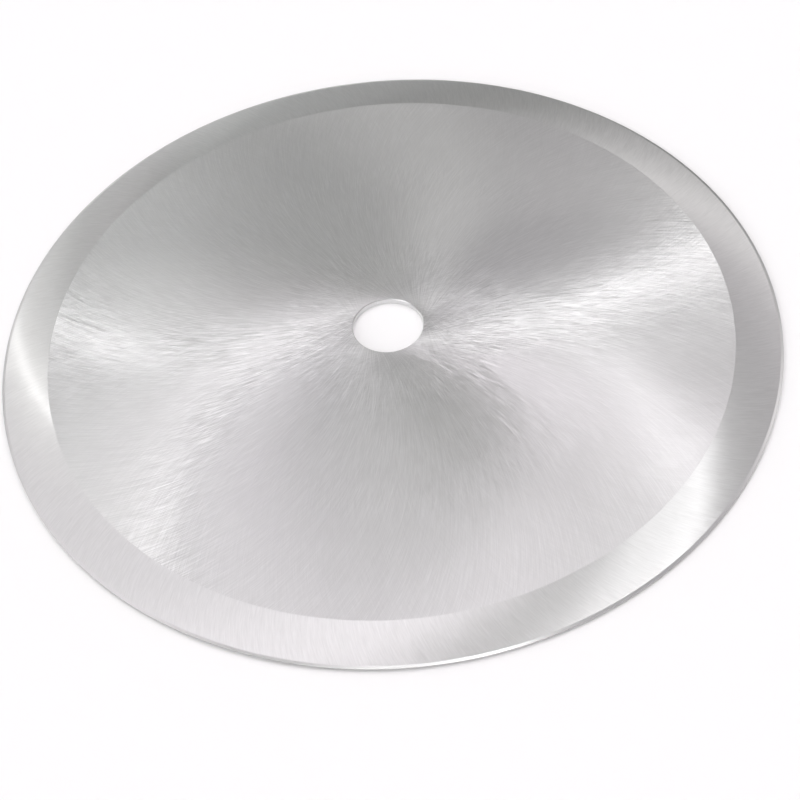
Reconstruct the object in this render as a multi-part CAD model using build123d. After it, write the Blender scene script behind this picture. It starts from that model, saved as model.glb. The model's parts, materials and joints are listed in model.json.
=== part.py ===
from build123d import *
import os
from math import radians, tan

# Smooth-edged circular blade for cutting reinforced rubber and thermoplastic hose.
# One disc of hardened tool steel, ground flat on both faces. A long shallow bevel is ground
# on each side of the rim, a narrow steeper bevel is honed on its outer margin, and a fine
# blunt land is left at the rim so that the edge does not chip on the hose's wire braid.
# The bore slides on the cutter's arbor, and two flanges clamp the flat faces around it.
#
# Frame, in millimetres: +Z is the spin axis, and the origin is the middle of the bore, on
# the plane that the edge cuts in. The blade lies flat, and both sides are alike.

# Driving dimensions
outer_diameter = 350.0
bore_diameter = 32.0
blade_thickness = 3.0
bevel_width = 20.6  # from the shoulder out to the rim, measured along the radius
hone_width = 1.2  # the rim's outer margin, measured along the radius
hone_angle = 10.0  # degrees between the honed margin and the blade's middle plane
edge_land = 0.4  # thickness left at the rim
bore_chamfer = 0.3  # 45 degree edge break at both mouths of the bore

# Radii and heights that follow from them
rim_radius = outer_diameter / 2
shoulder_radius = rim_radius - bevel_width
hone_radius = rim_radius - hone_width
bore_radius = bore_diameter / 2
face_height = blade_thickness / 2
land_height = edge_land / 2
hone_height = land_height + hone_width * tan(radians(hone_angle))


def upper_outline():
    """Radius and height of the section's corners above the middle plane, bore to rim."""
    return [
        (bore_radius, face_height - bore_chamfer),
        (bore_radius + bore_chamfer, face_height),
        (shoulder_radius, face_height),
        (hone_radius, hone_height),
        (rim_radius, land_height),
    ]


def blade_section():
    """The cross-section on one side of the axis: the upper outline and its mirror image."""
    upper = upper_outline()
    lower = [(radius, -height) for radius, height in reversed(upper)]
    with BuildSketch(Plane.XZ) as section:
        with BuildLine():
            Polyline(*upper, *lower, close=True)
        make_face()
    return section.sketch


def make_blade():
    """The whole blade: its section turned once round the spin axis."""
    return revolve(blade_section(), axis=Axis.Z)


os.makedirs("parts", exist_ok=True)
export_step(make_blade(), "parts/blade.step")
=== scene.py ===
import json
import math

import bmesh
import bpy
from mathutils import Matrix, Vector


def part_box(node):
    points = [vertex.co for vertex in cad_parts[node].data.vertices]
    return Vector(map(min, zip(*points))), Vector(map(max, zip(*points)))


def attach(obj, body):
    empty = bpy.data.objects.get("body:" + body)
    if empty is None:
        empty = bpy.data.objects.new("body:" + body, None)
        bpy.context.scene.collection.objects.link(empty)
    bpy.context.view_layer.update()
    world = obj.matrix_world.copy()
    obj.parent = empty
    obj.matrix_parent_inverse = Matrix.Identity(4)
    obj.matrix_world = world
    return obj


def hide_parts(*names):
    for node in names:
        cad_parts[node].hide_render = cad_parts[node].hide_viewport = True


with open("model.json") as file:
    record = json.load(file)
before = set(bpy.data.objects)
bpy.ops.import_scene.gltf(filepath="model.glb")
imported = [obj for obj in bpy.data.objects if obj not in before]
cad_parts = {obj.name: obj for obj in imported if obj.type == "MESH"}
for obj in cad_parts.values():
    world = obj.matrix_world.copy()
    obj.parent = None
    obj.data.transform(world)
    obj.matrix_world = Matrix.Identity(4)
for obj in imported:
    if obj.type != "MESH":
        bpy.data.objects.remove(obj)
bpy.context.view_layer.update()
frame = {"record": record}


# The hose cutting blade: a 350 mm disc of hardened tool steel, 3 mm thick.
# It is cut from rolled plate, ground flat on both faces by a cup wheel whose rim crosses
# the middle, then bevelled on both sides by a smaller wheel and honed along the rim.
mm = 0.001
blade_low, blade_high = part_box("blade")
face_height = blade_high[2]
rim_radius = max(-blade_low[0], blade_high[0])
bore_mount = next(m for m in frame["record"]["mounts"] if m["kind"] == "bore")
bore_radius = bore_mount["dims"]["r_mm"] * mm
bore_half_wall = bore_mount["dims"]["length_mm"] * mm / 2
bore_chamfer = face_height - bore_half_wall
bevel_width = 20.6 * mm
hone_width = 1.2 * mm
hone_slope = math.tan(math.radians(10))
land_height = 0.2 * mm
shoulder_radius = rim_radius - bevel_width
hone_radius = rim_radius - hone_width
hone_height = land_height + hone_width * hone_slope

steps_round = 720
face_rings = 12
bevel_rings = 4

# The section's corners from the bore's middle, over the upper side, to the rim's middle.
# Each stretch is named for the finish that it carries.
section = [
    ("bore", bore_radius, 0.0, 1),
    ("chamfer", bore_radius, bore_half_wall, 1),
    ("face", bore_radius + bore_chamfer, face_height, face_rings),
    ("bevel", shoulder_radius, face_height, bevel_rings),
    ("hone", hone_radius, hone_height, 2),
    ("land", rim_radius, land_height, 1),
    ("end", rim_radius, 0.0, 0),
]
finishes = ["bore", "chamfer", "face", "bevel", "hone", "land"]


def half_section(side):
    """Radius, height and finish of each ring on one side, from the bore out to the rim."""
    rings = []
    for here, beyond in zip(section, section[1:]):
        finish, radius, height, parts = here
        for part in range(parts):
            share = part / parts
            ring_radius = radius + (beyond[1] - radius) * share
            ring_height = height + (beyond[2] - height) * share
            rings.append((ring_radius, side * ring_height, finish, part == 0))
    rings.append((section[-1][1], 0.0, "land", False))
    return rings


def turned_blade():
    """The whole blade as one closed mesh, turned round the spin axis."""
    upper = half_section(1)
    lower = half_section(-1)[1:-1]
    lower.reverse()
    # Going round the section: over the top from bore to rim, and back below.
    loop = [(r, z, crease) for r, z, finish, crease in upper + lower]
    upper_finish = [finish for r, z, finish, crease in upper[:-1]]
    strip_finish = upper_finish + upper_finish[::-1]
    mesh = bmesh.new()
    rings = []
    for radius, height, crease in loop:
        ring = []
        for step in range(steps_round):
            turn = 2 * math.pi * step / steps_round
            place = (radius * math.cos(turn), radius * math.sin(turn), height)
            ring.append(mesh.verts.new(place))
        rings.append(ring)
    # The map runs round the blade along u and across the section along v.
    bake_map = mesh.loops.layers.uv.new("OFBake")
    lengths = [0.0]
    for index, here in enumerate(loop):
        beyond = loop[(index + 1) % len(loop)]
        lengths.append(lengths[-1] + math.hypot(beyond[0] - here[0], beyond[1] - here[1]))
    for index, finish in enumerate(strip_finish):
        inner = rings[index]
        outer = rings[(index + 1) % len(rings)]
        v_inner = lengths[index] / lengths[-1]
        v_outer = lengths[index + 1] / lengths[-1]
        for step in range(steps_round):
            beyond = (step + 1) % steps_round
            corners = (inner[step], outer[step], outer[beyond], inner[beyond])
            face = mesh.faces.new(corners)
            face.smooth = True
            face.material_index = finishes.index(finish)
            u_here = step / steps_round
            u_beyond = (step + 1) / steps_round
            places = ((u_here, v_inner), (u_here, v_outer), (u_beyond, v_outer), (u_beyond, v_inner))
            for corner, place in zip(face.loops, places):
                corner[bake_map].uv = place
    # The shoulder, the hone line, the rim and the chamfers are crisp ground corners.
    for index, (radius, height, crease) in enumerate(loop):
        if crease and index > 0:
            ring = rings[index]
            for step in range(steps_round):
                edge = mesh.edges.get((ring[step], ring[(step + 1) % steps_round]))
                edge.smooth = False
    return mesh


blade_mesh = bpy.data.meshes.new("ground_blade")
turned = turned_blade()
turned.to_mesh(blade_mesh)
turned.free()
blade = bpy.data.objects.new("ground_blade", blade_mesh)
bpy.context.collection.objects.link(blade)


# Its finish: bare ground steel, not plated or coated.
# Each ground surface has the marks of the wheel that made it, and its shine spreads across
# them. Clamps have scuffed the flats round the bore. On three arcs of the flats the strokes
# are lighter and darker by more, as painted glints, and the arcs' middles and two lines on
# the bevel are lighter, as a painted highlight.
class Nodes:
    """Short ways to add nodes to one material or world."""

    def __init__(self, tree):
        self.tree = tree
        tree.nodes.clear()

    def add(self, kind, **settings):
        node = self.tree.nodes.new(kind)
        for name, value in settings.items():
            setattr(node, name, value)
        return node

    def put(self, socket, value):
        if isinstance(value, bpy.types.NodeSocket):
            self.tree.links.new(value, socket)
        else:
            socket.default_value = value

    def math(self, operation, *values):
        node = self.add("ShaderNodeMath", operation=operation)
        for socket, value in zip(node.inputs, values):
            self.put(socket, value)
        return node.outputs[0]

    def plus(self, first, second):
        return self.math("ADD", first, second)

    def minus(self, first, second):
        return self.math("SUBTRACT", first, second)

    def times(self, first, second):
        return self.math("MULTIPLY", first, second)

    def divided(self, first, second):
        return self.math("DIVIDE", first, second)

    def limited(self, value, least, most):
        return self.math("MINIMUM", self.math("MAXIMUM", value, least), most)

    def vector(self, x, y, z):
        node = self.add("ShaderNodeCombineXYZ")
        for socket, value in zip(node.inputs, (x, y, z)):
            self.put(socket, value)
        return node.outputs[0]

    def parts_of(self, vector):
        """The x, y and z of a vector, or the red, green and blue of a colour."""
        node = self.add("ShaderNodeSeparateXYZ")
        self.put(node.inputs[0], vector)
        return node.outputs

    def sum_of(self, first, second):
        """Two vectors or colours added."""
        node = self.add("ShaderNodeVectorMath", operation="ADD")
        self.put(node.inputs[0], first)
        self.put(node.inputs[1], second)
        return node.outputs[0]

    def scaled(self, vector, amount):
        node = self.add("ShaderNodeVectorMath", operation="SCALE")
        self.put(node.inputs[0], vector)
        self.put(node.inputs["Scale"], amount)
        return node.outputs[0]

    def blend(self, share, low, high):
        node = self.add("ShaderNodeMix", data_type="FLOAT")
        self.put(node.inputs["Factor"], share)
        self.put(node.inputs["A"], low)
        self.put(node.inputs["B"], high)
        return node.outputs["Result"]

    def blend_vectors(self, share, low, high):
        """The same for two vectors, which are the fifth and sixth sockets of the node."""
        node = self.add("ShaderNodeMix", data_type="VECTOR")
        self.put(node.inputs["Factor"], share)
        self.put(node.inputs[4], low)
        self.put(node.inputs[5], high)
        return node.outputs[1]

    def ramp(self, value, low, high):
        """A soft step from 0 at low to 1 at high."""
        node = self.add("ShaderNodeMapRange", interpolation_type="SMOOTHSTEP")
        self.put(node.inputs["Value"], value)
        node.inputs["From Min"].default_value = low
        node.inputs["From Max"].default_value = high
        return node.outputs["Result"]


class GroundSteel(Nodes):
    """Steel finished by a wheel or a tool, with the radius in metres and the angle round it."""

    def __init__(self, name, centre=(0.0, 0.0)):
        self.material = bpy.data.materials.new(name)
        self.material.use_nodes = True
        super().__init__(self.material.node_tree)
        self.place = self.add("ShaderNodeTexCoord").outputs["Object"]
        place = self.parts_of(self.place)
        x = self.minus(place["X"], centre[0])
        y = self.minus(place["Y"], centre[1])
        self.radius = self.math("SQRT", self.plus(self.times(x, x), self.times(y, y)))
        self.angle = self.math("ARCTAN2", y, x)

    def noise(self, place, distortion=0.0):
        """Noise in patches of about one unit of place, with finer patches in them."""
        node = self.add("ShaderNodeTexNoise", noise_dimensions="3D")
        self.put(node.inputs["Vector"], place)
        node.inputs["Scale"].default_value = 1.0
        node.inputs["Detail"].default_value = 2.0
        node.inputs["Roughness"].default_value = 0.7
        node.inputs["Distortion"].default_value = distortion
        return node.outputs

    def strokes(self, turn, width, length, offset):
        """Random strokes that follow the marks on which turn is the same, width apart.

        The noise is doubled each time the radius doubles, so that a stroke is as wide near the
        bore as at the rim. It gives three separate values: depth, lean and shade.
        """
        first_radius = 10 * mm
        doubling = self.math("LOGARITHM", self.divided(self.radius, first_radius), 2.0)
        whole = self.math("FLOOR", doubling)
        coarse = self.times(self.math("POWER", 2.0, whole), first_radius / width)
        looks = []
        for reach in (coarse, self.times(coarse, 2.0)):
            side = self.times(self.math("COSINE", turn), reach)
            up = self.times(self.math("SINE", turn), reach)
            out = self.plus(self.divided(self.radius, length), offset)
            looks.append(self.noise(self.vector(side, up, out))["Color"])
        between = self.ramp(self.minus(doubling, whole), 0.3, 0.7)
        return self.parts_of(self.blend_vectors(between, *looks))

    def grains(self):
        """Three random values at every point: the marks too fine to be seen singly."""
        noise = self.add("ShaderNodeTexWhiteNoise", noise_dimensions="3D")
        self.put(noise.inputs["Vector"], self.place)
        split = self.add("ShaderNodeSeparateColor")
        self.put(split.inputs[0], noise.outputs["Color"])
        return split.outputs

    def wheel_marks(self, side, rim, axis, spread, grain, grain_spread, width, length, offset):
        """Marks of a cup wheel of the given rim radius, whose axis circled at the radius axis.

        side is 1 for the side of the rim that leads and -1 for the side that follows. spread is
        how far the strokes stand from the middle of the rim, and grain_spread the same for the
        marks that are too fine to be seen. Gives the angle of the marks, their depth and shade.
        """
        to_axis = self.divided(self.radius, 2 * axis)
        beyond = self.divided((axis * axis - rim * rim) / (2 * axis), self.radius)
        turned = self.math("ARCCOSINE", self.plus(to_axis, beyond))
        turn = self.plus(self.angle, self.times(turned, side))
        depth, lean, shade = self.strokes(turn, width, length, offset)
        stroke_out = self.times(self.minus(self.limited(lean, 0.3, 0.7), 0.5), spread)
        # Near the axis the strokes close up, so none of them turns right round.
        closing_radius = 45 * mm
        closing = self.math("MINIMUM", self.divided(self.radius, closing_radius), 1.0)
        stroke_out = self.times(stroke_out, closing)
        grain_out = self.times(self.minus(grain, 0.5), grain_spread)
        out = self.plus(stroke_out, grain_out)
        out = self.plus(out, (rim * rim - axis * axis) / (2 * rim))
        slope = self.divided(self.radius, 2 * rim)
        slope = self.plus(slope, self.divided(out, self.radius))
        # An arc sine takes nothing beyond 1.
        steepest = 0.999
        turned_in = self.times(self.math("ARCSINE", self.limited(slope, -steepest, steepest)), side)
        return self.plus(self.angle, turned_in), depth, shade

    def slanting_band(self, inner, start, outer, end, width):
        """1 on a slanting line that turns from the angle start at the radius inner to the angle
        end at the radius outer, and 0 well beside it. The angles are in degrees."""
        share = self.divided(self.minus(self.radius, inner), outer - inner)
        line = self.times(share, math.radians(end - start))
        line = self.plus(line, math.radians(start))
        half_turn = self.times(self.minus(self.angle, line), 0.5)
        away = self.divided(self.math("SINE", half_turn), math.radians(width) / 2)
        return self.math("EXPONENT", self.times(self.times(away, away), -1.0))

    def scratches(self, turn, width, length, offset):
        """Short straight scratches at an angle of turn degrees to the X axis."""
        lean = math.radians(turn)
        place = self.parts_of(self.place)
        x, y = place["X"], place["Y"]
        along = self.plus(self.times(x, math.cos(lean)), self.times(y, math.sin(lean)))
        across = self.minus(self.times(y, math.cos(lean)), self.times(x, math.sin(lean)))
        lengthwise, crosswise = self.divided(along, length), self.divided(across, width)
        return self.noise(self.vector(lengthwise, crosswise, offset), distortion=0.2)["Fac"]

    def tone(self, shade, colour, contrast, painted_highlight=0.0):
        """The steel's colour, a little lighter or darker from stroke to stroke, and lighter by any
        painted highlight.
        """
        light = self.times(self.minus(shade, 0.5), contrast)
        return self.scaled(colour, self.plus(self.plus(light, painted_highlight), 1.0))

    def finish(self, colour, roughness, mark=None, depth=None, relief=0.0, tilt=0.0):
        """Bare steel. With marks, its shine spreads across them, and every stroke rises or falls
        along its length by up to tilt."""
        shader = self.add("ShaderNodeBsdfPrincipled")
        shader.inputs["Metallic"].default_value = 1.0
        shader.inputs["Roughness"].default_value = roughness
        self.put(shader.inputs["Base Color"], colour)
        if mark is not None:
            shader.inputs["Anisotropic"].default_value = 1.0
            along_x, along_y = self.math("COSINE", mark), self.math("SINE", mark)
            across = self.vector(self.times(along_y, -1.0), along_x, 0.0)
            self.put(shader.inputs["Tangent"], across)
            bump = self.add("ShaderNodeBump")
            bump.inputs["Distance"].default_value = relief
            self.put(bump.inputs["Height"], depth)
            rise = self.times(self.minus(depth, 0.5), tilt)
            lean = self.scaled(self.vector(along_x, along_y, 0.0), rise)
            unit = self.add("ShaderNodeVectorMath", operation="NORMALIZE")
            self.put(unit.inputs[0], self.sum_of(bump.outputs["Normal"], lean))
            self.put(shader.inputs["Normal"], unit.outputs[0])
        out = self.add("ShaderNodeOutputMaterial")
        self.put(out.inputs["Surface"], shader.outputs[0])
        return self.material


def ground_face(colour):
    """The flat: marks of a wheel whose rim crosses near the middle, coming and going.

    The wheel's measures were fitted to the photograph with the light.
    """
    turning_centre = (3.2 * mm, 0.8 * mm)
    steel = GroundSteel("ground_face", turning_centre)
    wheel_rim = 146.3 * mm
    lead_axis = wheel_rim + 14 * mm
    trail_axis = wheel_rim + 11.6 * mm
    stroke_width = 0.4 * mm
    stroke_length = 11 * mm
    pick, lead_grain, trail_grain = steel.grains()
    lead_mark, lead_depth, lead_shade = steel.wheel_marks(
        1, wheel_rim, lead_axis, spread=82 * mm, grain=lead_grain,
        grain_spread=6 * mm, width=stroke_width, length=stroke_length, offset=0.0)
    trail_mark, trail_depth, trail_shade = steel.wheel_marks(
        -1, wheel_rim, trail_axis, spread=31 * mm, grain=trail_grain,
        grain_spread=3 * mm, width=stroke_width, length=stroke_length, offset=40.0)
    # The leading side of the rim cuts lightly, so its marks show on about a third of the face.
    over = steel.minus(steel.times(lead_depth, 0.5), trail_depth)
    lead_share = steel.plus(over, 0.58)
    mark = steel.blend(steel.math("LESS_THAN", pick, lead_share), trail_mark, lead_mark)
    soft_share = steel.limited(lead_share, 0.0, 1.0)
    depth = steel.blend(soft_share, trail_depth, lead_depth)
    shade = steel.blend(soft_share, trail_shade, lead_shade)
    # Clamps have scuffed a ring round the bore, most of all to its left and right, and the ring
    # has level scratches too. On three arcs the strokes tilt more, so they glint, and their colour
    # is lighter and darker by more: painted glints on top of the real scratches.
    level = steel.math("COSINE", steel.angle)
    sideways = steel.times(level, level)
    clamp_reach = 85 * mm
    clamp_full = 20 * mm
    clamped = steel.ramp(steel.radius, clamp_reach, clamp_full)
    clamped = steel.times(clamped, steel.blend(sideways, 0.25, 0.65))
    inner = 45 * mm
    scuff_and_glint_right = steel.slanting_band(inner, 345, shoulder_radius, 372, width=14)
    scuff_and_glint_left = steel.slanting_band(inner, 185, shoulder_radius, 174, width=11)
    scuff_and_glint_low = steel.slanting_band(inner, 190, shoulder_radius, 226, width=9)
    scuffs_and_glints = clamped
    for wiped in (scuff_and_glint_right, scuff_and_glint_left, scuff_and_glint_low):
        scuffs_and_glints = steel.plus(scuffs_and_glints, wiped)
    scuffs_and_glints = steel.math("MINIMUM", scuffs_and_glints, 1.0)
    scratches = steel.scratches(turn=3, width=0.45 * mm, length=6 * mm, offset=200.0)
    shade = steel.plus(shade, steel.times(steel.minus(scratches, 0.5), clamped))
    # The darkest strokes are cut off, so the strokes that stand out are mostly light ones: part of
    # the painted glints.
    darkest_stroke = 0.42
    shade = steel.math("MAXIMUM", shade, darkest_stroke)
    contrast = steel.blend(scuffs_and_glints, 0.54, 2.0)
    tilt = steel.blend(scuffs_and_glints, 0.12, 0.75)
    # The middles of the arcs carry a painted highlight: each sets in from one radius to another,
    # and is lighter there by a share of the steel's colour.
    highlight_band_right = steel.slanting_band(inner, 356, shoulder_radius, 370, width=7)
    highlight_band_left = steel.slanting_band(inner, 193.5, shoulder_radius, 172.7, width=7)
    highlight_band_low = steel.slanting_band(inner, 192.7, shoulder_radius, 224.3, width=4)
    painted_highlight = 0.0
    for highlight_band, begins, whole, amount in (
        (highlight_band_right, 62 * mm, 88 * mm, 0.29),
        (highlight_band_left, 85 * mm, 135 * mm, 0.4),
        (highlight_band_low, 105 * mm, 130 * mm, 0.11),
    ):
        highlight_band = steel.times(highlight_band, steel.ramp(steel.radius, begins, whole))
        painted_highlight = steel.plus(painted_highlight, steel.times(highlight_band, amount))
    tone = steel.tone(shade, colour, contrast, painted_highlight)
    return steel.finish(tone, 0.345, mark, depth, relief=0.004 * mm, tilt=tilt)


def bevelled(name, colour, rim, axis, width, offset):
    """The bevel or the hone: marks of a cup wheel that crosses the edge on a slant."""
    steel = GroundSteel(name)
    mark, depth, shade = steel.wheel_marks(
        1, rim, axis, spread=6 * mm, grain=steel.grains()[0],
        grain_spread=1 * mm, width=width, length=7 * mm, offset=offset)
    # Two slanting lines carry a painted highlight, at the left and at the lower right.
    painted_highlight = 0.0
    for start, end, amount in ((191, 170.5, 0.17), (321.5, 309, 0.05)):
        highlight_band = steel.slanting_band(shoulder_radius, start, rim_radius, end, width=3)
        painted_highlight = steel.plus(painted_highlight, steel.times(highlight_band, amount))
    tone = steel.tone(shade, colour, 0.28, painted_highlight)
    return steel.finish(tone, 0.351, mark, depth, relief=0.002 * mm, tilt=0.1)


def turned_steel(name, colour, contrast, roughness):
    """The bore and the broken corners: short even strokes of a tool going round."""
    steel = GroundSteel(name)
    shade = steel.strokes(steel.angle, width=0.4 * mm, length=2 * mm, offset=160.0)[2]
    return steel.finish(steel.tone(shade, colour, contrast), roughness)


face_colour = (0.57, 0.57, 0.57)
bevel_colour = (0.58, 0.58, 0.58)
corner_colour = (0.62, 0.62, 0.62)
bore_colour = (0.75, 0.75, 0.75)
coats = {
    "bore": turned_steel("reamed_bore", bore_colour, contrast=0.2, roughness=0.3),
    "chamfer": turned_steel("broken_corner", corner_colour, contrast=0.3, roughness=0.35),
    "face": ground_face(face_colour),
    "bevel": bevelled(
        "ground_bevel", bevel_colour, rim=66 * mm, axis=154.2 * mm, width=0.5 * mm, offset=80.0),
    "hone": bevelled(
        "honed_edge", bevel_colour, rim=100 * mm, axis=101 * mm, width=0.3 * mm, offset=120.0),
}
coats["land"] = coats["chamfer"]
for finish in finishes:
    blade_mesh.materials.append(coats[finish])

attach(blade, "root")
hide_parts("blade")


# The stage: a wide floor that the blade lies on. It is matt white board with no seam, and it
# reaches so far that its end never shows beside the blade.
floor_reach = 60.0
floor_mesh = bpy.data.meshes.new("floor")
near_left, near_right = (-floor_reach, -floor_reach), (floor_reach, -floor_reach)
far_right, far_left = (floor_reach, floor_reach), (-floor_reach, floor_reach)
corners = [(x, y, -face_height) for x, y in (near_left, near_right, far_right, far_left)]
floor_mesh.from_pydata(corners, [], [(0, 1, 2, 3)])
floor = bpy.data.objects.new("floor", floor_mesh)
bpy.context.collection.objects.link(floor)
floor_material = bpy.data.materials.new("white_floor")
floor_material.use_nodes = True
floor_shader = floor_material.node_tree.nodes["Principled BSDF"]
floor_shader.inputs["Base Color"].default_value = (0.97, 0.97, 0.97, 1.0)
floor_shader.inputs["Roughness"].default_value = 1.0
floor_shader.inputs["Specular IOR Level"].default_value = 0.0
floor_mesh.materials.append(floor_material)


# The light: a white studio with soft boxes and lamp strips round and over the blade, drawn in
# the world. Together they light the floor as a plain white sky would. The boxes' places, sizes
# and colours are the result of a fit of the blade's shine to the photograph's brightness.
world = bpy.data.worlds.new("studio")
bpy.context.scene.world = world
world.use_nodes = True
studio = Nodes(world.node_tree)
direction = studio.add("ShaderNodeTexCoord").outputs["Generated"]


def soft_box(bearing, height, length, width, turn, colour):
    """A soft-edged box of light, seen from the blade at a bearing and height in degrees.

    length and width are half its reach for a distance of 1, and turn tips its long side up from
    level, in degrees.
    """
    bearing, height, turn = math.radians(bearing), math.radians(height), math.radians(turn)
    level = math.cos(height)
    middle = Vector((level * math.cos(bearing), level * math.sin(bearing), math.sin(height)))
    sideways = Vector((-math.sin(bearing), math.cos(bearing), 0.0))
    upward = middle.cross(sideways)
    long_side = (sideways * math.cos(turn) + upward * math.sin(turn)) / length
    short_side = (upward * math.cos(turn) - sideways * math.sin(turn)) / width

    def reach(vector):
        node = studio.add("ShaderNodeVectorMath", operation="DOT_PRODUCT")
        studio.put(node.inputs[0], direction)
        node.inputs[1].default_value = vector
        return node.outputs["Value"]

    # Beside and behind the middle there is nothing to see of the box.
    least_ahead = 0.02
    farthest = 60.0
    ahead = studio.math("MAXIMUM", reach(middle), least_ahead)
    along = studio.divided(reach(long_side), ahead)
    over = studio.divided(reach(short_side), ahead)
    away = studio.plus(studio.times(along, along), studio.times(over, over))
    away = studio.math("MINIMUM", away, farthest)
    return studio.scaled(colour, studio.math("EXPONENT", studio.times(away, -1.0)))


upright_strip_behind = soft_box(
    bearing=36.0, height=54.2, length=1.158, width=0.107, turn=-84.5,
    colour=(1.46, 1.40, 1.49))
thin_strip_overhead = soft_box(
    bearing=260.7, height=85.1, length=0.712, width=0.043, turn=84.1,
    colour=(7.82, 7.77, 7.82))
short_box_behind = soft_box(
    bearing=96.5, height=62.8, length=0.146, width=0.049, turn=33.0,
    colour=(8.23, 7.65, 8.18))
level_strip_behind = soft_box(
    bearing=46.2, height=46.0, length=0.474, width=0.110, turn=-10.7,
    colour=(1.82, 1.77, 1.74))
upright_box_at_left = soft_box(
    bearing=215.3, height=30.0, length=0.390, width=0.219, turn=76.9,
    colour=(3.43, 3.30, 3.42))
lamp_tube_behind = soft_box(
    bearing=104.0, height=43.0, length=0.369, width=0.010, turn=61.0,
    colour=(7.88, 8.13, 8.00))
lamp_tube_overhead = soft_box(
    bearing=226.0, height=86.2, length=1.368, width=0.019, turn=-20.4,
    colour=(7.35, 7.25, 7.06))
small_lamp_overhead = soft_box(
    bearing=203.5, height=73.5, length=0.094, width=0.040, turn=-39.6,
    colour=(9.83, 9.77, 9.84))
small_box_behind = soft_box(
    bearing=149.7, height=57.1, length=0.124, width=0.064, turn=84.0,
    colour=(2.63, 2.53, 2.55))
low_box_in_front = soft_box(
    bearing=249.5, height=5.6, length=0.421, width=0.269, turn=-71.7,
    colour=(3.35, 3.43, 3.38))
dim_box_at_right = soft_box(
    bearing=337.4, height=45.9, length=0.337, width=0.291, turn=-33.0,
    colour=(0.46, 0.34, 0.44))
low_strip_behind = soft_box(
    bearing=147.8, height=10.3, length=0.310, width=0.089, turn=50.2,
    colour=(2.83, 2.78, 2.75))

ceiling = studio.vector(0.293, 0.292, 0.289)
for box in (
    upright_strip_behind, thin_strip_overhead, short_box_behind, level_strip_behind,
    upright_box_at_left, lamp_tube_behind, lamp_tube_overhead, small_lamp_overhead,
    small_box_behind, low_box_in_front, dim_box_at_right, low_strip_behind,
):
    ceiling = studio.sum_of(ceiling, box)
# Up to a height of 2 degrees the studio is the white of its floor, and above 8 its ceiling.
above = studio.ramp(studio.parts_of(direction)["Z"], 0.03, 0.14)
surroundings = studio.blend_vectors(above, (1.0, 1.0, 1.0), ceiling)
background = studio.add("ShaderNodeBackground")
studio.put(background.inputs["Color"], surroundings)
world_out = studio.add("ShaderNodeOutputWorld")
studio.put(world_out.inputs["Surface"], background.outputs[0])


# The camera: looks down on the blade from in front, as the photograph does. It stands 0.69 m
# from the middle of the bore, tipped and rolled a little, with a short telephoto lens.
camera_distance = 687.1 * mm
camera_elevation = math.radians(47.63)
camera_yaw = math.radians(-0.15)
camera_pitch = math.radians(-2.78)
camera_roll = math.radians(6.16)
camera_sensor = 36.0
camera_lens = 68.2
camera_data = bpy.data.cameras.new("camera")
camera_data.sensor_width = camera_sensor
camera_data.lens = camera_lens
camera = bpy.data.objects.new("camera", camera_data)
bpy.context.collection.objects.link(camera)
back = Vector((0.0, -math.cos(camera_elevation), math.sin(camera_elevation)))
ahead, right = -back, Vector((1.0, 0.0, 0.0))
up = right.cross(ahead)
yaw = Matrix.Rotation(camera_yaw, 3, up)
ahead, right = yaw @ ahead, yaw @ right
pitch = Matrix.Rotation(camera_pitch, 3, right)
ahead, up = pitch @ ahead, pitch @ up
roll = Matrix.Rotation(camera_roll, 3, ahead)
right, up = roll @ right, roll @ up
pose = Matrix((right, up, -ahead)).transposed().to_4x4()
pose.translation = back * camera_distance
camera.matrix_world = pose
bpy.context.scene.camera = camera
bpy.context.scene.view_settings.view_transform = "Standard"
